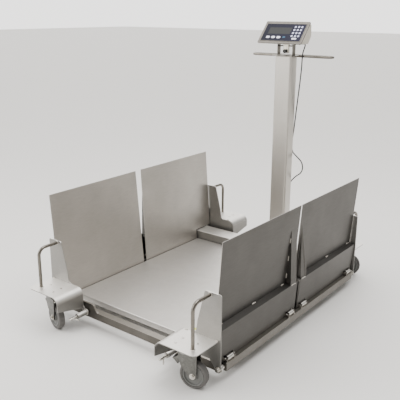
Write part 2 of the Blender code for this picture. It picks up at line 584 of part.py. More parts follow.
def caster(end, side):
    """Top plate with its race, turning fork, wheel and brake pedal."""
    corner = "{}_{}".format(end, side)
    post = Matrix.Translation((SIGN[side] * SWIVEL_X, SIGN[end] * SWIVEL_Y, 0))
    place = post @ Matrix.Rotation(math.radians(TRAIL_ANGLE[corner]), 4, "Z")

    top = COVER_TOP - COVER_SHEET - GAP
    plate = boxes(((-0.052, -0.042, PLATE_LOW), (0.052, 0.042, top)))
    plate.transform(post)
    item = piece("caster_plate_" + corner, plate, "zinc", post)
    race = rods(((0, 0, RACE_LOW), (0, 0, PLATE_LOW + 0.002), RACE_R), sides=24)
    race.transform(post)
    change(item, "UNION", race)
    well = rods(((0, 0, RACE_LOW - 0.01), (0, 0, RACE_LOW + 0.016), 0.0084), sides=16)
    well.transform(post)
    change(item, "DIFFERENCE", well)

    # The fork's own X is the way it trails and its own Y the axle
    legs = [(-FORK_OUT, 0.040), (-FORK_IN, 0.040), (-FORK_IN, CROWN_LOW + 0.022),
            (FORK_IN, CROWN_LOW + 0.022), (FORK_IN, 0.040), (FORK_OUT, 0.040),
            (FORK_OUT, CROWN_TOP), (-FORK_OUT, CROWN_TOP)]
    yoke = slab("X", -0.040, 0.075, legs)
    yoke.transform(place)
    fork = piece("caster_fork_" + corner, yoke, "zinc", place)
    side_view = (arc((TRAIL, WHEEL_R), 0.017, 200, 340, 6)
                 + [(TRAIL + 0.019, 0.105), (TRAIL + 0.019, CROWN_TOP + 0.01),
                    (-0.030, CROWN_TOP + 0.01), (-0.024, CROWN_LOW), (-0.018, 0.105)])
    cheek = slab("Y", -0.05, 0.05, side_view)
    cheek.transform(place)
    change(fork, "INTERSECT", cheek)
    head = rods(((0, 0, CROWN_TOP - 0.003), (0, 0, RACE_LOW - GAP), 0.027), sides=24)
    head.transform(place)
    change(fork, "UNION", head)
    kingpin = rods(((0, 0, RACE_LOW - 0.004), (0, 0, RACE_LOW + 0.014), 0.008), sides=16)
    kingpin.transform(place)
    change(fork, "UNION", kingpin)
    axle = rods(((TRAIL, -FORK_OUT - 0.006, WHEEL_R), (TRAIL, FORK_OUT + 0.006, WHEEL_R), AXLE_R),
                sides=16)
    axle.transform(place)
    change(fork, "UNION", axle)

    pivot = rods(((PEDAL_X, -FORK_IN - 0.001, PEDAL_Z), (PEDAL_X, FORK_IN + 0.001, PEDAL_Z),
                  PEDAL_PIN_R))
    pivot.transform(place)
    change(fork, "UNION", pivot)

    hub, w = 0.017, TREAD_HALF
    profile = [(WHEEL_R - 0.004, w), (WHEEL_R, w - 0.006), (WHEEL_R, 0.006 - w),
               (WHEEL_R - 0.004, -w), (0.047, -w), (0.044, -0.006), (0.020, -0.006),
               (0.017, -hub), (WHEEL_BORE, -hub), (WHEEL_BORE, hub), (0.017, hub),
               (0.020, 0.006), (0.044, 0.006), (0.047, w)]
    axis = Matrix.Translation((TRAIL, 0, WHEEL_R)) @ Matrix.Rotation(math.radians(-90), 4, "X")
    turned("caster_wheel_" + corner, profile, "grey_rubber", place @ axis)

    lever = ([(-0.0265, 0.118), (-0.032, 0.101), (-0.036, 0.101), (-0.050, 0.117),
              (-0.058, 0.1215), (-0.058, 0.1245), (-0.040, 0.133), (-0.030, 0.142)]
             + arc((PEDAL_X, PEDAL_Z), 0.008, 110, -60, 6))
    pedal = slab("Y", -0.014, 0.014, lever, circle((PEDAL_X, PEDAL_Z), PEDAL_BORE))
    pedal.transform(place)
    hinge = Matrix.Translation((PEDAL_X, 0, PEDAL_Z))
    piece("brake_pedal_" + corner, pedal, "zinc", place @ hinge)


# ---------------------------------------------------------------- indicator
def tilt_bracket():
    low = COLUMN_TOP + CAP_THICK + 2 * GAP
    out, inner, top, half_depth = 0.050, 0.047, 1.305, 0.017
    strip = [(-out, low), (out, low), (out, top), (inner, top), (inner, low + 0.003),
             (-inner, low + 0.003), (-inner, top), (-out, top)]
    item = piece("tilt_bracket", slab("Y", TILT_Y - half_depth, TILT_Y + half_depth, strip),
                 "brushed_steel", (0, TILT_Y, low))
    pin = ((-0.0485, TILT_Y, TILT_Z), (0.0485, TILT_Y, TILT_Z), TILT_PIN_R)
    change(item, "UNION", rods(pin))


def on_face(across, down, depth):
    """World point from a place on the sloping face: right, down it and behind it."""
    cos, sin = math.cos(FACE_TILT), math.sin(FACE_TILT)
    return (across, FACE_Y - down * sin + depth * cos, FACE_Z - down * cos - depth * sin)


def face_slab(outline, front, back, *holes):
    """A flat outline on the sloping face, from one depth behind it to another."""
    plate = slab("Z", -back, -front, outline, *holes)
    cos, sin = math.cos(FACE_TILT), math.sin(FACE_TILT)
    turn = Matrix(((1, 0, 0), (0, sin, -cos), (0, cos, sin))).to_4x4()
    plate.transform(Matrix.Translation((0, FACE_Y, FACE_Z)) @ turn)
    return plate


def indicator():
    hinge = (0, TILT_Y, TILT_Z)
    half_w, half_h = FACE_HALF_W - 0.004, FACE_HALF_H - 0.004
    skin = PANEL_THICK + GAP

    def profile(inset):
        """The case seen from its side, behind the front panel."""
        front_top = on_face(0, inset - half_h, skin)[1:]
        front_low = on_face(0, half_h - inset, skin)[1:]
        return [front_top, (0.7195 - inset, 1.410 - inset), (0.722 - inset, 1.352),
                (0.692 - inset * 0.6, 1.312 + inset), (0.612 + inset * 0.5, 1.3105 + inset),
                front_low]

    case = slab("X", -half_w, half_w, profile(0))
    item = piece("indicator_housing", case, "housing_steel", hinge)
    wall = 0.003
    pocket = profile(wall)
    (top_y, top_z), (low_y, low_z) = pocket[0], pocket[-1]
    reach = 0.006
    ahead = (-math.cos(FACE_TILT) * reach, math.sin(FACE_TILT) * reach)
    pocket[0] = (top_y + ahead[0], top_z + ahead[1])
    pocket[-1] = (low_y + ahead[0], low_z + ahead[1])
    change(item, "DIFFERENCE", slab("X", wall - half_w, half_w - wall, pocket))
    block = ((-0.016, 0.684, 1.258), (0.016, 0.700, 1.3135))
    change(item, "UNION", boxes(block))
    bore = ((-0.03, TILT_Y, TILT_Z), (0.03, TILT_Y, TILT_Z), TILT_BORE)
    change(item, "DIFFERENCE", rods(bore))

    edge = rounded((-FACE_HALF_W, -FACE_HALF_H), (FACE_HALF_W, FACE_HALF_H), 0.006, 3)
    piece("front_panel", face_slab(edge, 0.0012, PANEL_THICK), "housing_steel", hinge)
    sheet = rounded((-0.121, -0.058), (0.121, 0.054), 0.003, 2)
    piece("keypad_overlay", face_slab(sheet, 0, 0.0012 - GAP), "panel_blue", hinge)
    knob = rods(((0, 0.668, 1.268), (0, 0.684 - GAP, 1.268), 0.011), sides=20)
    piece("tilt_knob", knob, "black_plastic", (0, 0.684, 1.268))

    # The gland stands square on the case's sloping lower back
    slope = Vector((0, 0.040, -0.030)).normalized()
    seat = Vector((GLAND_X, 0.7070, 1.3320)) + slope * GAP
    body = rods((seat, seat + slope * 0.010, 0.0095), sides=6)
    gland = piece("cable_gland", body, "black_plastic", tuple(seat))
    end = Vector(CABLE_ROUTE[0]) - slope * GAP
    change(gland, "UNION", rods((seat + slope * 0.008, end, 0.007), sides=16))


def smooth_route(route, spacing):
    """Evenly spaced points on a smooth curve through the route's own points."""
    spots = [Vector(spot) for spot in route]
    ends = [spots[0] * 2 - spots[1]] + spots + [spots[-1] * 2 - spots[-2]]
    fine = []
    for a, b, c, d in zip(ends, ends[1:], ends[2:], ends[3:]):
        for step in range(20):
            t = step / 20
            fine.append(0.5 * (2 * b + (c - a) * t + (2 * a - 5 * b + 4 * c - d) * t * t
                               + (3 * b - a - 3 * c + d) * t * t * t))
    fine.append(spots[-1])
    length = sum((q - p).length for p, q in zip(fine, fine[1:]))
    count = round(length / spacing)
    chosen, walked, target = [fine[0]], 0.0, length / count
    for p, q in zip(fine, fine[1:]):
        walked += (q - p).length
        if walked >= target and len(chosen) < count:
            chosen.append(q)
            target += length / count
    return chosen + [fine[-1]]


def indicator_cable():
    points = smooth_route(CABLE_ROUTE, 0.016)
    piece("indicator_cable", tube(points, CABLE_R), "black_plastic", CABLE_ROUTE[0])


clear_scene()
PARTS = new_collection("animal_weighing_scale")
TOOLS = new_collection("cutters")

for rail_side in ("left", "right"):
    side_rail(rail_side)
end_rail("front_rail", -1, FRONT_RAIL_IN)
end_rail("rear_rail", 1, REAR_RAIL_IN)
for bar_end in ("front", "rear"):
    cross_bar(bar_end)
rear_beam()
column_foot()
column()
handlebar()
deck()
junction_box()
tilt_bracket()
indicator()
indicator_cable()
for corner_end, corner_side in CORNERS:
    load_cell(corner_end, corner_side)
    platform_foot(corner_end, corner_side)
    ramp(corner_end, corner_side)
    caster_cover(corner_end, corner_side)
    lift_handle(corner_end, corner_side)
    lock_plunger(corner_end, corner_side)
    caster(corner_end, corner_side)
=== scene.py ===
"""The finished look of the animal weighing scale: rounded edges, welds, casters,
indicator and materials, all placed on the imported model. Metres, +Z up."""

import json
import math

import bmesh
import bpy
from mathutils import Matrix, Vector


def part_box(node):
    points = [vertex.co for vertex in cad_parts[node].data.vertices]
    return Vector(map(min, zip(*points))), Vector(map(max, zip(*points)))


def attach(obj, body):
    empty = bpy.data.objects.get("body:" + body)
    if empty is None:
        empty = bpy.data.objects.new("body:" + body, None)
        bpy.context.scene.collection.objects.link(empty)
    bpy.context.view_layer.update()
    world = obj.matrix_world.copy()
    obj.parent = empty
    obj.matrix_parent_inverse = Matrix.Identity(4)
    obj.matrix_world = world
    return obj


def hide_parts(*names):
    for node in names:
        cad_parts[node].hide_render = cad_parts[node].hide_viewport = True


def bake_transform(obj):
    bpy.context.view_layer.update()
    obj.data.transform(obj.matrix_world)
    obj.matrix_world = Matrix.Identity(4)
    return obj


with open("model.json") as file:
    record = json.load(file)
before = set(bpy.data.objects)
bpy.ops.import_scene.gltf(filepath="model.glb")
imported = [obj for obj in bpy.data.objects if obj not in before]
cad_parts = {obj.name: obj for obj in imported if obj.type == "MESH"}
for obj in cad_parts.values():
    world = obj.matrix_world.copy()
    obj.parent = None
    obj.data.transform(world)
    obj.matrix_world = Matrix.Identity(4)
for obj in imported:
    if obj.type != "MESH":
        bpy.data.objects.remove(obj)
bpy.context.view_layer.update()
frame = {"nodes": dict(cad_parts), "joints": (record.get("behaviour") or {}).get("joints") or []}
NODES = frame["nodes"]
JOINTS = {joint["name"]: joint for joint in frame["joints"]}
CORNERS = [(end, side) for end in ("front", "rear") for side in ("left", "right")]
SIGN = {"left": -1, "right": 1, "front": -1, "rear": 1}
Y, Z = Vector((0, 1, 0)), Vector((0, 0, 1))
RAMP_LEAN = math.radians(4.2)
RAMP_MIDDLE = 0.4741        # middle of a ramp's sheet, measured square to it from x = 0
HINGE_STATIONS = (0.062, 0.566)     # along y, from the middle
FACE_TILT = math.radians(41.6)      # of the indicator's face, from upright
COVER_TOP = 0.196           # top of a caster unit's cover
HANDLE_X = 0.471            # where a grab handle stands
SKY, SKY_RIGHT = 2.5, 0.5   # the studio's brightness, and on its right-hand side


# ---------------------------------------------------------------- camera, light, floor
def camera():
    lens = bpy.data.cameras.new("camera")
    lens.lens = 56.15
    lens.sensor_width = 36.0
    item = bpy.data.objects.new("camera", lens)
    bpy.context.scene.collection.objects.link(item)
    turn = (Matrix.Rotation(math.radians(37.84), 4, "Z")
            @ Matrix.Rotation(math.radians(73.04), 4, "X")
            @ Matrix.Rotation(math.radians(0.24), 4, "Z"))
    item.matrix_world = Matrix.Translation((1.843, -2.474, 1.490)) @ turn
    bpy.context.scene.camera = item


def soft_light(name, place, target, size, power):
    lamp = bpy.data.lights.new(name, "AREA")
    lamp.shape = "RECTANGLE"
    lamp.size, lamp.size_y = size
    lamp.energy = power
    item = bpy.data.objects.new(name, lamp)
    bpy.context.scene.collection.objects.link(item)
    item.location = place
    item.rotation_euler = (Vector(target) - Vector(place)).to_track_quat("-Z", "Y").to_euler()


def studio():
    world = bpy.data.worlds.new("studio")
    bpy.context.scene.world = world
    world.use_nodes = True
    tree = world.node_tree
    sky = tree.nodes["Background"]
    way = add(tree, "ShaderNodeTexCoord").outputs["Generated"]
    parts = add(tree, "ShaderNodeSeparateXYZ", {"Vector": way})
    aside = add(tree, "ShaderNodeMapRange", {"Value": parts.outputs["X"], "From Min": -0.3,
                                             "From Max": 0.55, "To Min": SKY, "To Max": SKY_RIGHT})
    tree.links.new(aside.outputs["Result"], sky.inputs["Strength"])
    sky.inputs["Color"].default_value = (1.0, 0.985, 0.97, 1)
    soft_light("overhead", (0.9, 0.1, 3.4), (0.2, 0, 0.2), (2.4, 2.4), 90)
    soft_light("left_front", (-2.8, -2.6, 2.4), (0, 0, 0.4), (2.0, 2.0), 60)
    floor = bmesh.new()
    bmesh.ops.create_grid(floor, x_segments=2, y_segments=2, size=40.0)
    mesh = bpy.data.meshes.new("floor")
    floor.to_mesh(mesh)
    floor.free()
    mesh.materials.append(LOOKS["floor"])
    item = bpy.data.objects.new("floor", mesh)
    bpy.context.scene.collection.objects.link(item)


# ---------------------------------------------------------------- materials
def linear(code):
    """An sRGB hex colour as linear light."""
    parts = [int(code[i:i + 2], 16) / 255 for i in (0, 2, 4)]
    return (*[p / 12.92 if p < 0.04045 else ((p + 0.055) / 1.055) ** 2.4 for p in parts], 1.0)


def add(tree, kind, feeds=None, **settings):
    """A node with its settings, each input given a value or another node's socket."""
    made = tree.nodes.new(kind)
    for key, value in settings.items():
        setattr(made, key, value)
    for name, feed in (feeds or {}).items():
        if isinstance(feed, bpy.types.NodeSocket):
            tree.links.new(feed, made.inputs[name])
        else:
            made.inputs[name].default_value = feed
    return made


def blank(name, **values):
    """A new material, its node tree, its shader and its object coordinates."""
    look = bpy.data.materials.new(name)
    look.use_nodes = True
    tree = look.node_tree
    shader = tree.nodes["Principled BSDF"]
    for key, value in values.items():
        shader.inputs[key.replace("_", " ")].default_value = value
    return look, tree, shader, add(tree, "ShaderNodeTexCoord").outputs["Object"]


def steel(name, light, dark, gloss, grain, smudge=0.09, scratch=0.3, swell=0.0, under=1.0,
          upward=0.06, outside=None):
    """Bare metal: grain lines, handling smudges and a slow change of shade.
    grain is how many lines lie in a metre along each axis, gloss the least and most
    roughness, smudge a mark's width and swell how far the sheet waves, in metres.
    under is how bright it stays where it faces down, as painted shade, upward how far
    up it has to face to lose that painted shade, and outside how bright a ramp's outer side stays,
    also painted shade."""
    look, tree, shader, spot = blank(name, Metallic=1.0)
    along = add(tree, "ShaderNodeMapping", {"Vector": spot, "Scale": grain}).outputs["Vector"]
    lines = add(tree, "ShaderNodeTexNoise", {"Vector": along, "Scale": 1.0, "Detail": 4.0,
                                             "Roughness": 0.6}).outputs["Fac"]
    marks = add(tree, "ShaderNodeTexNoise", {"Vector": spot, "Scale": 1.0 / smudge, "Detail": 4.0,
                                             "Distortion": 0.5}).outputs["Fac"]
    cloud = add(tree, "ShaderNodeTexNoise", {"Vector": spot, "Scale": 2.4, "Detail": 2.0})
    cloud = cloud.outputs["Fac"]
    worn = add(tree, "ShaderNodeMix", {"Factor": 0.45, "A": marks, "B": cloud}).outputs["Result"]
    mixed = add(tree, "ShaderNodeMix", {"Factor": 0.35, "A": worn, "B": lines}).outputs["Result"]
    spread = add(tree, "ShaderNodeMapRange", {"Value": mixed, "From Min": 0.36, "From Max": 0.64})
    tone = add(tree, "ShaderNodeMix", {0: spread.outputs["Result"], 6: linear(dark),
                                       7: linear(light)}, data_type="RGBA")
    if outside:
        # Painted shade: a ramp's outer side is darkened to outside, as if it reflected a dark floor
        mirrored = add(tree, "ShaderNodeVectorMath", {0: spot}, operation="ABSOLUTE")
        across = (math.cos(RAMP_LEAN), 0, -math.sin(RAMP_LEAN))
        reach = add(tree, "ShaderNodeVectorMath", {0: mirrored.outputs["Vector"], 1: across},
                    operation="DOT_PRODUCT").outputs["Value"]
        wiped = add(tree, "ShaderNodeMapRange", {"Value": reach, "From Min": RAMP_MIDDLE - 0.0005,
                                                 "From Max": RAMP_MIDDLE + 0.0005, "To Min": 1.0,
                                                 "To Max": outside})
    else:
        # Painted shade: faces that do not point up are darkened, down to under where they face down
        facing = add(tree, "ShaderNodeSeparateXYZ",
                     {"Vector": add(tree, "ShaderNodeNewGeometry").outputs["Normal"]})
        wiped = add(tree, "ShaderNodeMapRange", {"Value": facing.outputs["Z"], "From Min": -0.06,
                                                 "From Max": upward, "To Min": under})
    # The tone multiplied by the painted shade
    clean = add(tree, "ShaderNodeMix", {0: 1.0, 6: tone.outputs[2], 7: wiped.outputs["Result"]},
                data_type="RGBA", blend_type="MULTIPLY")
    tree.links.new(clean.outputs[2], shader.inputs["Base Color"])
    shine = add(tree, "ShaderNodeMapRange", {"Value": mixed, "From Min": 0.36, "From Max": 0.64,
                                             "To Min": gloss[1], "To Max": gloss[0]})
    tree.links.new(shine.outputs["Result"], shader.inputs["Roughness"])
    fine = add(tree, "ShaderNodeBump", {"Height": lines, "Strength": scratch, "Distance": 0.0001})
    sheet = add(tree, "ShaderNodeBump", {"Height": cloud, "Strength": 1.0, "Distance": swell,
                                         "Normal": fine.outputs["Normal"]})
    tree.links.new(sheet.outputs["Normal"], shader.inputs["Normal"])
    return look


def moulded(name, colour, gloss, grit=0.0012, depth=0.25, fade=0.12, dust=0.02):
    """Moulded or extruded plastic, rubber or print, with a matt grain and some dust."""
    look, tree, shader, spot = blank(name)
    grain = add(tree, "ShaderNodeTexNoise", {"Vector": spot, "Scale": 1.0 / grit, "Detail": 2.0})
    dirt = add(tree, "ShaderNodeTexNoise", {"Vector": spot, "Scale": 1.0 / dust, "Detail": 4.0})
    bright = linear(colour)
    dull = (*[c * (1 - 2 * fade) for c in bright[:3]], 1.0)
    tone = add(tree, "ShaderNodeMix", {0: dirt.outputs["Fac"], 6: dull, 7: bright},
               data_type="RGBA")
    tree.links.new(tone.outputs[2], shader.inputs["Base Color"])
    shine = add(tree, "ShaderNodeMapRange", {"Value": dirt.outputs["Fac"], "From Min": 0.35,
                                             "From Max": 0.65, "To Min": gloss[0],
                                             "To Max": gloss[1]})
    tree.links.new(shine.outputs["Result"], shader.inputs["Roughness"])
    relief = add(tree, "ShaderNodeBump", {"Height": grain.outputs["Fac"], "Strength": depth,
                                          "Distance": 0.0002})
    tree.links.new(relief.outputs["Normal"], shader.inputs["Normal"])
    return look


def weld_metal():
    """Bare weld bead. Its real ripples are 1 mm apart; they are drawn at 3 mm to show."""
    look, tree, shader, spot = blank("brushed_weld_bead", Metallic=1.0, Roughness=0.36)
    ripple = add(tree, "ShaderNodeTexNoise", {"Vector": spot, "Scale": 330.0, "Detail": 1.0})
    tone = add(tree, "ShaderNodeMix", {0: ripple.outputs["Fac"], 6: linear("8a857d"),
                                       7: linear("e6e1d8")}, data_type="RGBA")
    tree.links.new(tone.outputs[2], shader.inputs["Base Color"])
    relief = add(tree, "ShaderNodeBump", {"Height": ripple.outputs["Fac"], "Strength": 0.7,
                                          "Distance": 0.0006})
    tree.links.new(relief.outputs["Normal"], shader.inputs["Normal"])
    return look


def printed_film():
    """Polyester film printed from behind: navy, warming to violet on the right."""
    look, tree, shader, spot = blank("printed_polyester_overlay", Roughness=0.45,
                                     Specular_IOR_Level=0.25)
    parts = add(tree, "ShaderNodeSeparateXYZ", {"Vector": spot})
    across = add(tree, "ShaderNodeMapRange", {"Value": parts.outputs["X"], "From Min": -0.10,
                                              "From Max": 0.12}).outputs["Result"]
    speck = add(tree, "ShaderNodeTexNoise", {"Vector": spot, "Scale": 700.0}).outputs["Fac"]
    mixed = add(tree, "ShaderNodeMix", {"Factor": 0.2, "A": across, "B": speck})
    tone = add(tree, "ShaderNodeMix", {0: mixed.outputs["Result"], 6: linear("04061a"),
                                       7: linear("0b0b26")}, data_type="RGBA")
    tree.links.new(tone.outputs[2], shader.inputs["Base Color"])
    relief = add(tree, "ShaderNodeBump", {"Height": speck, "Strength": 0.1, "Distance": 0.0001})
    tree.links.new(relief.outputs["Normal"], shader.inputs["Normal"])
    return look


LOOKS = {
    # Mill-finish sheet, cold rolled and pickled: soft grey reflections, cloudy from handling, with
    # painted shade where it does not face up
    "sheet": steel("mill_finish_stainless_sheet", "c2beb8", "b4b0aa", (0.38, 0.45),
                   (26, 26, 240), smudge=0.14, scratch=0.2, swell=0.0003, under=0.3, upward=0.6),
    # The ramps' sheet, darker on its outer side: painted shade, as if it reflected a dark floor
    "ramp": steel("stainless_sheet_with_painted_outer_shade", "c2beb8", "b2aea8", (0.38, 0.45),
                  (26, 26, 240), smudge=0.14, scratch=0.2, swell=0.0003, outside=0.20),
    # The caster covers are the same sheet, blasted to an even, brighter matt, with painted shade
    # where they do not face up
    "cover": steel("blasted_stainless_sheet", "f1eee8", "e2dfd9", (0.44, 0.52),
                   (300, 300, 300), smudge=0.06, scratch=0.3, under=0.30, upward=0.9),
    # The deck's sheet is the same, scuffed along its length by paws, feet and brushes
    "deck": steel("scuffed_stainless_deck_sheet", "dbd8d3", "cdc9c3", (0.40, 0.50),
                  (460, 34, 60), smudge=0.07, scratch=0.35, swell=0.0005),
    # Welded square tube, pickled after welding, duller than the sheet, with painted shade where it
    # does not face up
    "rail": steel("pickled_stainless_tube", "a5a098", "8a857d", (0.34, 0.46), (260, 40, 260),
                  under=0.30, upward=0.9),
    # Post ground along its length with a coarse belt; lines drawn 1.6 mm wide to show
    "post": steel("belt_ground_stainless_post", "c6c2bb", "b7b3ac", (0.32, 0.40),
                  (620, 620, 9), smudge=0.2, scratch=0.3),
    # Small bent tube, polished where hands hold it
    "bar": steel("polished_stainless_tube", "7d7871", "6a665f", (0.18, 0.26), (60, 60, 60),
                 smudge=0.06, scratch=0.05),
    # Pressed caster steel under bright zinc: bluish, blotched, fairly glossy, with painted shade
    # where it does not face up
    "zinc": steel("bright_zinc_plated_steel", "93938f", "6b6a66", (0.26, 0.42), (150, 150, 150),
                  smudge=0.02, under=0.25),
    # Turned nuts, pins and screws
    "turned": steel("turned_stainless_fittings", "e2dfd8", "b4b0a8", (0.16, 0.30),
                    (500, 500, 500), smudge=0.01),
    # Indicator case, brushed from side to side and passivated: warm satin, with strong painted
    # shade wherever it does not face up
    "case": steel("brushed_stainless_case", "f7f1e3", "ddd7c9", (0.30, 0.44), (14, 620, 620),
                  smudge=0.04, under=0.08, upward=0.01),
    # Its front panel, shot-peened and darker: satin grey
    "bezel": steel("peened_stainless_panel", "8a867f", "716d67", (0.36, 0.46), (400, 400, 400),
                   smudge=0.04),
    # Load cells, milled and clear anodised: even, cool and satin
    "alloy": steel("clear_anodised_aluminium", "d9dadc", "bcbdc0", (0.34, 0.44), (40, 700, 700),
                   smudge=0.03),
    # Grey thermoplastic rubber tread, moulded round the rim: matt, dusty
    "tyre": moulded("moulded_grey_rubber_tread", "5b5956", (0.60, 0.80), dust=0.012),
    # Glass-filled nylon wheel body, moulded: satin mid grey
    "wheel": moulded("moulded_grey_nylon", "70706d", (0.40, 0.56), dust=0.015),
    # Black nylon knob, gland, grommet and feet, moulded: fine matt grain
    "black": moulded("moulded_black_nylon", "1e1e1d", (0.38, 0.56)),
    # Cable jacket, extruded soft PVC: dull black with slight wipe marks
    "jacket": moulded("extruded_pvc_jacket", "0c0c0c", (0.40, 0.58), grit=0.002),
    # Key faces, screen printed ink under the overlay's film
    "key": moulded("screen_printed_lilac_ink", "e6e7f4", (0.32, 0.42), depth=0.05, fade=0.04),
    "digit": moulded("screen_printed_pale_ink", "c6c8e2", (0.32, 0.42), depth=0.05, fade=0.04),
    "tint": moulded("screen_printed_teal_ink", "1d4a66", (0.32, 0.42), depth=0.05, fade=0.04),
    # Display, reflective liquid crystal behind acrylic: flat dark grey green
    "display": moulded("liquid_crystal_display", "0c1011", (0.36, 0.46), depth=0.02, fade=0.10),
    # Round vinyl label, plain
    "label": moulded("plain_vinyl_label", "cfd653", (0.40, 0.50), depth=0.05, fade=0.08),
    # Studio floor, painted pale and rolled: almost even
    "floor": moulded("pale_painted_floor", "e6e4e0", (0.55, 0.65), grit=0.004, depth=0.05,
                     fade=0.01, dust=0.4),
    "weld": weld_metal(),
    "film": printed_film(),
}


# ---------------------------------------------------------------- shapes
def joined(shapes):
    whole = bmesh.new()
    for shape in shapes:
        mesh = bpy.data.meshes.new("part")
        shape.to_mesh(mesh)
        shape.free()
        whole.from_mesh(mesh)
        bpy.data.meshes.remove(mesh)
    return whole


def put(name, look, body, shapes, hides=(), sharp=32.0):
    """The shapes as one piece that rides on a body and stands for the nodes it hides."""
    whole = joined(shapes)
    bmesh.ops.recalc_face_normals(whole, faces=whole.faces)
    mesh = bpy.data.meshes.new(name)
    whole.to_mesh(mesh)
    whole.free()
    mesh.materials.append(LOOKS[look])
    mesh.shade_smooth()
    mesh.set_sharp_from_angle(angle=math.radians(sharp))
    item = bpy.data.objects.new(name, mesh)
    bpy.context.scene.collection.objects.link(item)
    flat = item.modifiers.new("flat_faces", "WEIGHTED_NORMAL")   # large faces stay true
    flat.weight = 100
    flat.keep_sharp = True
    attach(item, body)
    if hides:
        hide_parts(*hides)
    return item


def round_edges(shape, edges, radius, segments=2):
    bmesh.ops.bevel(shape, geom=edges, offset=radius, offset_type="OFFSET", segments=segments,
                    profile=0.5, affect="EDGES", material=-1, clamp_overlap=True)


def folded(edge, degrees=28.0):
    return len(edge.link_faces) == 2 and edge.calc_face_angle(0) > math.radians(degrees)


def copy_of(node, edge=0.0006, bends=None, bend_radius=0.003):
    """A node's shape, its bent corners and then its cut edges rounded. Notched faces are
    cut up first, so that no notch is closed over when its edges are rounded."""
    shape = bmesh.new()
    shape.from_mesh(NODES[node].data)
    bmesh.ops.remove_doubles(shape, verts=shape.verts, dist=0.00001)
    bmesh.ops.dissolve_limit(shape, angle_limit=math.radians(0.5), verts=shape.verts,
                             edges=shape.edges)
    bmesh.ops.connect_verts_concave(shape, faces=shape.faces)
    if bends:
        round_edges(shape, [e for e in shape.edges if folded(e) and bends(e)], bend_radius, 4)
    round_edges(shape, [e for e in shape.edges if folded(e) and e.calc_length() > 2 * edge], edge)
    return shape


def aimed(place, direction):
    """A frame standing at a place with its Z along a direction."""
    turn = Vector(direction).to_track_quat("Z", "Y").to_matrix().to_4x4()
    return Matrix.Translation(place) @ turn


def lathe(profile, place, steps=40, closed=False):
    """A line of radius and height points turned about the place's own Z."""
    shape = bmesh.new()
    spots = [bmesh.ops.create_vert(shape, co=(radius, 0, height))["vert"][0]
             for radius, height in profile]
    line = [shape.edges.new(pair) for pair in zip(spots, spots[1:])]
    if closed:
        line.append(shape.edges.new((spots[-1], spots[0])))
    bmesh.ops.spin(shape, geom=spots + line, cent=(0, 0, 0), axis=(0, 0, 1), angle=math.tau,
                   steps=steps, use_merge=True)
    bmesh.ops.remove_doubles(shape, verts=shape.verts, dist=0.000002)
    bmesh.ops.recalc_face_normals(shape, faces=shape.faces)
    bmesh.ops.transform(shape, matrix=place, verts=shape.verts)
    return shape


def post(start, finish, radius, sides=32, edge=0.0005):
    """A round or six-sided bar with its edges eased."""
    way = Vector(finish) - Vector(start)
    shape = bmesh.new()
    bmesh.ops.create_circle(shape, cap_ends=True, segments=sides, radius=radius)
    top = bmesh.ops.extrude_face_region(shape, geom=shape.faces[:])["geom"]
    bmesh.ops.translate(shape, vec=(0, 0, way.length),
                        verts=[v for v in top if isinstance(v, bmesh.types.BMVert)])
    round_edges(shape, [e for e in shape.edges if folded(e)], edge)
    bmesh.ops.transform(shape, matrix=aimed(start, way), verts=shape.verts)
    return shape


def ring(centre, axis, radius, thick, steps=32):
    """A round seal, weld or clip lying about an axis."""
    turn = [math.tau * i / 10 for i in range(10)]
    return lathe([(radius + thick * math.cos(a), thick * math.sin(a)) for a in turn],
                 aimed(centre, axis), steps, closed=True)


def follow(points, radius, sides=16, swell=None):
    """A round section carried along a line of points, capped at both ends."""
    points = [Vector(p) for p in points]
    ways = [(b - a).normalized() for a, b in zip(points, points[1:])]
    ways = [ways[0]] + [(a + b).normalized() for a, b in zip(ways, ways[1:])] + [ways[-1]]
    shape = bmesh.new()
    bmesh.ops.create_circle(shape, cap_ends=True, segments=sides, radius=radius,
                            matrix=aimed(points[0], ways[0]))
    cap = shape.faces[:]
    for i in range(1, len(points)):
        grown = bmesh.ops.extrude_face_region(shape, geom=cap)["geom"]
        face_ring = [v for v in grown if isinstance(v, bmesh.types.BMVert)]
        cap = [f for f in grown if isinstance(f, bmesh.types.BMFace)]
        turn = ways[i - 1].rotation_difference(ways[i]).to_matrix()
        bmesh.ops.rotate(shape, cent=points[i - 1], matrix=turn, verts=face_ring)
        bmesh.ops.translate(shape, vec=points[i] - points[i - 1], verts=face_ring)
        if swell:
            size = swell(i) / swell(i - 1)
            bmesh.ops.scale(shape, vec=(size, size, size), verts=face_ring,
                            space=Matrix.Translation(-points[i]))
    return shape


def weld(start, finish, size=0.0022):
    """A straight bead with a ripple every 3 mm, tapering at its ends."""
    start, finish = Vector(start), Vector(finish)
    steps = max(4, round((finish - start).length / 0.003) * 2)
    points = [start.lerp(finish, i / steps) for i in range(steps + 1)]

    def swell(i):
        return 0.55 if i in (0, steps) else (1.0 if i % 2 else 0.86)

    return follow(points, size * 0.55, sides=8, swell=swell)


def hex_bolt(seat, direction, across=0.0145, height=0.0058, washer=0.0012):
    """A six-sided head on its washer."""
    seat, way = Vector(seat), Vector(direction).normalized()
    return [post(seat, seat + way * washer, across * 0.80, 32, 0.0003),
            post(seat + way * washer, seat + way * (washer + height), across * 0.577, 6, 0.0006)]


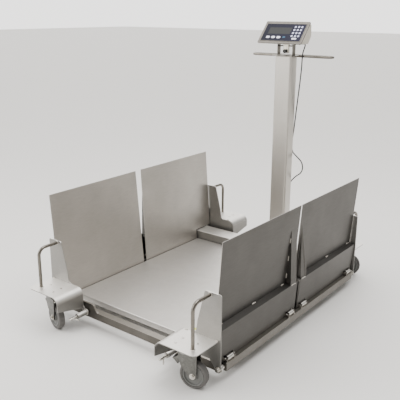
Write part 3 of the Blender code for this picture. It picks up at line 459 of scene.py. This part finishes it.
def smooth_line(route, spacing):
    """Points about evenly spaced along a smooth curve through a route."""
    route = [Vector(p) for p in route]
    ends = [2 * route[0] - route[1]] + route + [2 * route[-1] - route[-2]]
    fine = []
    for a, b, c, d in zip(ends, ends[1:], ends[2:], ends[3:]):
        for i in range(24):
            t = i / 24
            fine.append(0.5 * ((2 * b) + (c - a) * t + (2 * a - 5 * b + 4 * c - d) * t * t
                               + (3 * b - a - 3 * c + d) * t ** 3))
    fine.append(route[-1])
    length = sum((b - a).length for a, b in zip(fine, fine[1:]))
    count = round(length / spacing)
    points, done, goal = [fine[0]], 0.0, length / count
    for a, b in zip(fine, fine[1:]):
        step = (b - a).length
        while done + step >= goal * len(points) - 1e-9 and len(points) < count:
            points.append(a.lerp(b, (goal * len(points) - done) / step))
        done += step
    return points + [fine[-1]]


# ---------------------------------------------------------------- cable
CABLE_R = 0.0035
CABLE_ROUTE = (
    (0.0920, 0.7262, 1.3172), (0.0920, 0.7334, 1.3118), (0.0918, 0.7394, 1.3058),
    (0.0905, 0.7396, 1.2940), (0.0880, 0.7330, 1.2760), (0.0860, 0.7262, 1.2560),
    (0.0848, 0.7245, 1.2150), (0.0835, 0.7250, 1.1700), (0.0745, 0.7255, 1.0550),
    (0.0625, 0.7275, 0.9400), (0.0515, 0.7390, 0.8800), (0.0415, 0.7450, 0.8100),
    (0.0350, 0.7440, 0.7450), (0.0420, 0.7390, 0.6880), (0.0760, 0.7360, 0.6580),
    (0.1080, 0.7350, 0.6310), (0.1185, 0.7350, 0.5950), (0.1060, 0.7365, 0.5620),
    (0.0770, 0.7400, 0.5390), (0.0430, 0.7470, 0.5050), (0.0150, 0.7540, 0.4600),
    (0.0020, 0.7580, 0.4250), (0.0000, 0.7520, 0.4060), (0.0000, 0.7430, 0.4005),
    (0.0000, 0.7285, 0.4000),
)


def indicator_cable():
    """From the gland down the post's back, with one loose loop, into the post."""
    line = smooth_line(CABLE_ROUTE, 0.012)
    cable = put("cable", "jacket", "base_frame", [follow(line, CABLE_R, 16)],
                ["indicator_cable"], sharp=60)
    cable.parent = None
    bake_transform(cable)
    hole = Vector(CABLE_ROUTE[-1])
    put("cable_grommet", "black", "base_frame",
        [ring((hole.x, 0.7305, hole.z), Y, 0.0062, 0.0018)])


# ---------------------------------------------------------------- frame
def frame_pieces():
    for side in ("left", "right"):
        node = "side_rail_" + side
        put(node + "_tube", "rail", "base_frame",
            [copy_of(node, 0.0008, along_y, 0.0030)], [node])
    for end in ("front", "rear"):
        node = end + "_rail"
        put(node + "_tube", "rail" if end == "front" else "sheet", "base_frame",
            [copy_of(node, 0.0007)], [node])
        node = "cross_bar_" + end
        put(node + "_flat", "rail", "base_frame", [copy_of(node, 0.001)], [node])
    put("rear_beam_folded", "cover", "base_frame",
        [copy_of("rear_beam", 0.0006, outer_long, 0.004)], ["rear_beam"])
    put("column_foot_plates", "sheet", "base_frame", [copy_of("column_foot", 0.0008)],
        ["column_foot"])
    put("column_post", "post", "base_frame", [copy_of("column", 0.0004)], ["column"])
    put("column_cap_plate", "bezel", "base_frame", [copy_of("column_cap", 0.0007)],
        ["column_cap"])
    put("tilt_bracket_strap", "bezel", "base_frame", [copy_of("tilt_bracket", 0.0006)],
        ["tilt_bracket"])


def column_welds():
    """Beads round the post's foot and where the handlebar meets the cap."""
    low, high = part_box("column")
    foot, round_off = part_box("column_foot")[1].z + 0.0004, 0.013
    beads = []
    for y in (low.y, high.y):
        beads.append(weld((low.x + round_off, y, foot), (high.x - round_off, y, foot), 0.0035))
    for x in (low.x, high.x):
        beads.append(weld((x, low.y + round_off, foot), (x, high.y - round_off, foot), 0.0035))
    cap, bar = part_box("column_cap"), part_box("handlebar")
    joint = (cap[1].y + bar[0].y) / 2
    level = (bar[0].z + bar[1].z) / 2
    for x in (-1, 1):
        beads.append(weld((x * 0.030, joint, level + 0.0035), (x * 0.058, joint, level + 0.0035),
                          0.0036))
    put("column_beads", "weld", "base_frame", beads)


def along_y(edge):
    way = (edge.verts[1].co - edge.verts[0].co).normalized()
    return abs(way.y) > 0.999 and edge.calc_length() > 0.5


def outer_long(edge):
    way = (edge.verts[1].co - edge.verts[0].co).normalized()
    return abs(way.x) > 0.999 and edge.calc_length() > 0.5 and edge.verts[0].co.z > 0.1375


def handlebar():
    low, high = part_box("handlebar")
    radius = (high.z - low.z) / 2
    bend, middle, level = (high.y - low.y) / 2 - radius, (low.y + high.y) / 2, (low.z + high.z) / 2
    half = high.x - radius - bend
    turn = [math.radians(-90 + 180 * i / 14) for i in range(15)]
    right = [(half + bend * math.cos(a), middle + bend * math.sin(a), level) for a in turn]
    left = [(-x, 2 * middle - y, z) for x, y, z in right]
    path = right + left
    tube = follow(path + [path[0]], radius, 20)
    put("handlebar_tube", "bar", "base_frame", [tube], ["handlebar"], sharp=60)


# ---------------------------------------------------------------- platform
def platform():
    low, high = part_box("deck")

    def rim(edge):
        a, b = (v.co for v in edge.verts)
        upright = abs(a.z - b.z) > 0.02
        outside = all(min(abs(p.x - low.x), abs(p.x - high.x)) < 1e-5
                      or min(abs(p.y - low.y), abs(p.y - high.y)) < 1e-5 for p in (a, b))
        return outside and (upright or (a.z > high.z - 1e-5 and b.z > high.z - 1e-5))

    put("deck_sheet", "deck", "platform", [copy_of("deck", 0.0005, rim, 0.0032)],
        ["deck"])
    put("junction_box_case", "sheet", "platform", [copy_of("junction_box", 0.001)],
        ["junction_box"])
    for end, side in CORNERS:
        corner = "_{}_{}".format(end, side)
        put("load_cell_beam" + corner, "alloy", "platform",
            [copy_of("load_cell" + corner, 0.0006)], ["load_cell" + corner])
        put("platform_foot_turned" + corner, "turned", "platform",
            [copy_of("platform_foot" + corner, 0.0006)], ["platform_foot" + corner])
    spot = Vector((0.255, -0.457, high.z))
    put("plain_label", "label", "platform",
        [post(spot - Z * 0.00005, spot + Z * 0.0004, 0.0095, 40, 0.0001)])


# ---------------------------------------------------------------- ramps
def ramp(end, side):
    corner = "{}_{}".format(end, side)
    body = "ramp_" + corner
    put(body + "_sheet", "ramp", body, [copy_of(body, 0.0006)], [body])
    s, e = SIGN[side], SIGN[end]
    hinge = Vector(JOINTS["ramp_fold_" + corner]["pos_m"])

    def spot(u, y, w):
        """A place on the ramp: u outwards, w up along it from the hinge."""
        cos, sin = math.cos(RAMP_LEAN), math.sin(RAMP_LEAN)
        return Vector((s * (abs(hinge.x) + u * cos + w * sin), e * y,
                       hinge.z - u * sin + w * cos))

    beads = [weld(spot(-0.0355, y - 0.013, 0.1522), spot(-0.0355, y + 0.013, 0.1522), 0.003)
             for y in (0.105, 0.35, 0.60)]
    beads += [weld(spot(-0.0355, 0.0755, w - 0.012), spot(-0.0355, 0.0755, w + 0.012), 0.003)
              for w in (0.19, 0.28, 0.37)]
    beads.append(weld(spot(-0.007, 0.030, 0.1455), spot(-0.007, 0.068, 0.1455), 0.003))
    put(body + "_welds", "weld", body, beads)

    # Each hinge: a bored sleeve on the ramp, and the pin's peened heads on the rail's lugs
    sleeves, heads = [], []
    for station in HINGE_STATIONS:
        centre = Vector((hinge.x, e * station, hinge.z))
        sleeves.append(lathe([(0.0056, -0.0204), (0.0108, -0.0204), (0.0114, -0.0196),
                              (0.0114, 0.0196), (0.0108, 0.0204), (0.0056, 0.0204)],
                             aimed(centre, Y), 40, closed=True))
        for way in (Y, -Y):
            heads.append(post(centre + way * 0.0308, centre + way * 0.0327, 0.0074, 28, 0.0006))
    put(body + "_sleeves", "turned", body, sleeves)
    put("hinge_pins_" + corner, "turned", "base_frame", heads)


# ---------------------------------------------------------------- caster units
def caster_unit(end, side):
    s, e = SIGN[side], SIGN[end]
    corner = "{}_{}".format(end, side)
    unit = "caster_unit_" + corner

    def at(x, y, z):
        return Vector((s * x, e * y, z))

    cover = "caster_cover_" + corner
    put(cover + "_sheet", "cover", unit, [copy_of(cover, 0.0007)], [cover])

    handle = "lift_handle_" + corner
    turn = [math.radians(90 - 90 * i / 10) for i in range(11)]
    bend, reach, crest = 0.037, 0.751, 0.394
    run = [(0.6393, crest)]
    run += [(reach - bend + bend * math.cos(a), crest - bend + bend * math.sin(a)) for a in turn]
    run += [(reach, COVER_TOP + 0.0003)]
    put(handle + "_tube", "bar", unit,
        [follow([at(HANDLE_X, y, z) for y, z in run], 0.008, 20)], [handle], sharp=60)
    put("handle_welds_" + corner, "weld", unit,
        [ring(at(HANDLE_X, reach, COVER_TOP), Z, 0.0088, 0.0022),
         ring(at(HANDLE_X, 0.639, crest), Y, 0.0088, 0.0022)])
    heads = []
    for x in (0.382, 0.458):
        for y in (0.704, 0.752):
            if (x, y) != (0.458, 0.752):
                heads.append(post(at(x, y, COVER_TOP - 0.0005), at(x, y, COVER_TOP + 0.0016),
                                  0.0062, 28, 0.0008))
    put("plate_screws_" + corner, "turned", unit, heads)
    nuts = []
    for x in (0.384, 0.456):
        for y in (0.700, 0.756):
            nuts += hex_bolt(at(x, y, 0.1867), -Z, 0.010, 0.005)
    put("plate_nuts_" + corner, "turned", unit, nuts)

    pivot = at(0.515, 0.6392, 0.0655)
    put("pivot_nut_" + corner, "turned", "base_frame",
        hex_bolt(pivot, e * Y, 0.019, 0.008, 0.0016)
        + [post(pivot + e * Y * 0.008, pivot + e * Y * 0.0125, 0.0056, 24, 0.0008)])
    put("pivot_collar_" + corner, "turned", "base_frame",
        [lathe([(0.0085, 0), (0.0155, 0), (0.0165, 0.001), (0.0165, 0.006), (0.0155, 0.007),
                (0.0125, 0.0075), (0.0125, 0.024), (0.0115, 0.025), (0.0085, 0.025)],
               aimed(at(0.515, 0.6335, 0.0655), -e * Y), closed=True)])
    seam = COVER_TOP + 0.0004
    put("bracket_weld_" + corner, "weld", unit,
        [weld(at(0.3395, 0.6398, seam), at(0.354, 0.6398, seam), 0.0035),
         weld(at(0.500, 0.6398, seam), at(0.5145, 0.6398, seam), 0.0035),
         ring(at(0.285, 0.6395, 0.075), Y, 0.0136, 0.0020)])

    plunger = "lock_plunger_" + corner
    put(plunger + "_turned", "turned", "plunger_" + corner, [copy_of(plunger, 0.0006)],
        [plunger])
    plate = "caster_plate_" + corner
    put(plate + "_pressed", "zinc", unit, [copy_of(plate, 0.0012)], [plate])
    swivel = Vector(JOINTS["swivel_" + corner]["pos_m"])
    put("swivel_race_" + corner, "zinc", unit,
        [lathe([(0.0325, 0.1700), (0.0345, 0.1715), (0.0352, 0.1745), (0.0335, 0.1790),
                (0.0310, 0.1815), (0.0300, 0.1867), (0.0290, 0.1867), (0.0290, 0.1700)],
               Matrix.Translation((swivel.x, swivel.y, 0)), 48, closed=True)])
    caster(corner, swivel)


def caster(corner, swivel):
    """Fork, wheel and pedal, drawn about the axle and the way the fork trails."""
    spin = JOINTS["wheel_spin_" + corner]
    hub = Vector(spin["pos_m"])
    axle = Vector(spin["axis"]).normalized()
    fork = "caster_fork_" + corner
    put(fork + "_pressed", "zinc", "swivel_" + corner, [copy_of(fork, 0.0008)], [fork])
    ends = []
    for way in (1, -1):
        ends += hex_bolt(hub + way * axle * 0.0225, way * axle, 0.0165, 0.0062, 0.0014)
        ends.append(post(hub + way * axle * 0.029, hub + way * axle * 0.0325, 0.0045, 24, 0.0006))
    put("axle_nuts_" + corner, "turned", "swivel_" + corner, ends)
    put("swivel_skirt_" + corner, "zinc", "swivel_" + corner,
        [lathe([(0.0268, 0.1600), (0.0315, 0.1600), (0.0325, 0.1612), (0.0318, 0.1640),
                (0.0290, 0.1672), (0.0268, 0.1676)],
               Matrix.Translation((swivel.x, swivel.y, 0)), 48, closed=True)])

    wheel = "caster_wheel_" + corner
    place = aimed(hub, axle)
    tread = [(0.0492, 0.0135), (0.0510, 0.0155), (0.0560, 0.0158), (0.0598, 0.0140),
             (0.0618, 0.0105), (0.0625, 0.0050), (0.0625, -0.0050), (0.0618, -0.0105),
             (0.0598, -0.0140), (0.0560, -0.0158), (0.0510, -0.0155), (0.0492, -0.0135)]
    half = [(0.0495, 0.0122), (0.0470, 0.0122), (0.0460, 0.0148), (0.0440, 0.0155),
            (0.0420, 0.0146), (0.0405, 0.0090), (0.0385, 0.0072), (0.0250, 0.0072),
            (0.0215, 0.0085), (0.0200, 0.0160), (0.0188, 0.0170), (0.0068, 0.0170)]
    core = half + [(radius, -height) for radius, height in reversed(half)]
    put(wheel + "_tread", "tyre", "wheel_" + corner, [lathe(tread, place, 72, True)],
        [wheel])
    put(wheel + "_body", "wheel", "wheel_" + corner, [lathe(core, place, 72, True)])
    bushes = [lathe([(0.0064, 0.0172), (0.0125, 0.0172), (0.0130, 0.0178), (0.0120, 0.0183),
                     (0.0064, 0.0183)], aimed(hub, way * axle), 32, True) for way in (1, -1)]
    put("wheel_bushes_" + corner, "black", "wheel_" + corner, bushes)

    pedal = "brake_pedal_" + corner
    put(pedal + "_pressed", "zinc", "pedal_" + corner, [copy_of(pedal, 0.0012)], [pedal])


# ---------------------------------------------------------------- indicator
def on_face(across, up, depth):
    """A place on the indicator's sloping face: up along it, depth behind it."""
    return Vector((across, 0.650 + up * math.sin(FACE_TILT) + depth * math.cos(FACE_TILT),
                   1.373 + up * math.cos(FACE_TILT) - depth * math.sin(FACE_TILT)))


def pad(across, up, width, height, round_off, front, back):
    """A raised or sunk area on the face with round corners."""
    shape = bmesh.new()
    bmesh.ops.create_cube(shape, size=1.0)
    bmesh.ops.scale(shape, vec=(width, height, back - front), verts=shape.verts)
    upright = [e for e in shape.edges if abs(e.verts[0].co.z - e.verts[1].co.z) > 1e-6]
    round_edges(shape, upright, round_off, 8)
    crest = [e for e in shape.edges if all(v.co.z > 0 for v in e.verts) and folded(e)]
    round_edges(shape, crest, (back - front) * 0.4)
    turn = Matrix.Rotation(math.radians(90) - FACE_TILT, 4, "X")
    bmesh.ops.transform(shape, matrix=Matrix.Translation(on_face(across, up, (front + back) / 2))
                        @ turn, verts=shape.verts)
    return shape


def frame_strip(half_w, half_h, low, front, back, width=0.0016):
    """Four thin mitred strips that edge a window in the face."""
    strips = []
    for up in (half_h, -half_h):
        strips.append(pad(low[0], low[1] + up, 2 * half_w + width, width, width * 0.3, front, back))
    for across in (half_w, -half_w):
        strips.append(pad(low[0] + across, low[1], width, 2 * half_h, width * 0.3, front, back))
    return strips


def indicator():
    tilted = "indicator"
    put("indicator_case", "case", tilted, [copy_of("indicator_housing", 0.0012)],
        ["indicator_housing"])
    put("indicator_bezel", "bezel", tilted, [copy_of("front_panel", 0.0010)],
        ["front_panel"])
    put("overlay_film", "film", tilted,
        [pad(0.0005, -0.0025, 0.250, 0.1175, 0.004, -0.0003, 0.0010)], ["keypad_overlay"])
    put("overlay_border", "bezel", tilted,
        frame_strip(0.1262, 0.0600, (0.0005, -0.0025), -0.0010, 0.0014, 0.0022))
    put("display_window", "display", tilted,
        [pad(-0.026, 0.009, 0.138, 0.042, 0.002, -0.0004, 0.0004)])
    put("display_border", "black", tilted,
        frame_strip(0.0705, 0.0225, (-0.026, 0.009), -0.0005, 0.0003, 0.0016))
    put("function_keys", "key", tilted,
        [pad(x, -0.037, 0.024, 0.0145, 0.0068, -0.0008, 0.0003) for x in (-0.085, -0.051, -0.017)])
    put("clear_key", "tint", tilted,
        [pad(0.017, -0.035, 0.018, 0.0115, 0.0052, -0.0008, 0.0003)])
    put("number_keys", "digit", tilted,
        [pad(x, up, 0.0128, 0.0128, 0.0062, -0.0008, 0.0003) for x in (0.063, 0.084, 0.104)
         for up in (0.037, 0.016, -0.005, -0.026)])
    put("enter_key", "key", tilted,
        [pad(0.084, -0.0440, 0.030, 0.0110, 0.0050, -0.0008, 0.0003)])
    low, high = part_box("tilt_knob")
    centre = (low + high) / 2
    radius = (high.z - low.z) / 2
    grip = [(0, 0), (radius * 0.80, 0), (radius * 0.97, 0.0012), (radius, 0.003),
            (radius, 0.0105), (radius * 0.93, 0.0118), (radius * 0.55, 0.0124),
            (radius * 0.45, high.y - low.y), (0, high.y - low.y)]
    put("tilt_knob_turned", "black", tilted,
        [lathe(grip, aimed((centre.x, low.y, centre.z), Y), 36)], ["tilt_knob"])
    put("cable_gland_moulded", "black", tilted, [copy_of("cable_gland", 0.0006)],
        ["cable_gland"])


# ---------------------------------------------------------------- all together
camera()
indicator_cable()
studio()
frame_pieces()
column_welds()
handlebar()
platform()
for corner_end, corner_side in CORNERS:
    ramp(corner_end, corner_side)
    caster_unit(corner_end, corner_side)
indicator()
